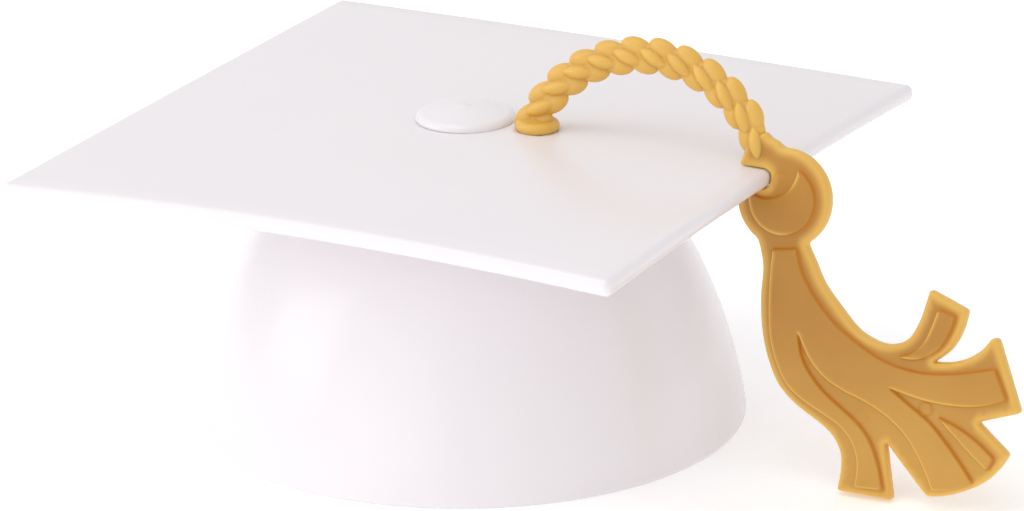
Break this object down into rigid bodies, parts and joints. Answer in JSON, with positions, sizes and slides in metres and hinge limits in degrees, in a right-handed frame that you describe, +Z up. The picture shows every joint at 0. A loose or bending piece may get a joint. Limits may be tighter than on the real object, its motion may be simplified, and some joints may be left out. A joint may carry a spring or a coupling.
{
  "type": "graduation cap favour",
  "caption": "Square mortarboard on a bell-shaped skull cap, with a domed button and a moulded braided tassel that clips over the board's edge.",
  "frame": {"origin": "on the skull cap's axis, in the plane of its rim, which the cap stands on", "axes": "+Z up through the button; +X towards the board's edge that the tassel hangs over; +Y towards the back edge"},
  "size_m": [0.127, 0.0896, 0.0547],
  "materials": {
    "white_plastic": "glossy moulded white polystyrene",
    "gold_plastic": "satin moulded golden-yellow polypropylene"
  },
  "bodies": {
    "cap": {"mortarboard": "white_plastic", "skull_cap": "white_plastic", "button": "white_plastic"},
    "tassel": {"tassel": "gold_plastic"}
  },
  "joints": [
    {"name": "tassel_swivel", "type": "hinge", "parent": "cap", "child": "tassel", "pos_m": [0.01085, 0, 0.041], "axis": [0, 0, 1], "range_deg": [-5, 1]}
  ]
}
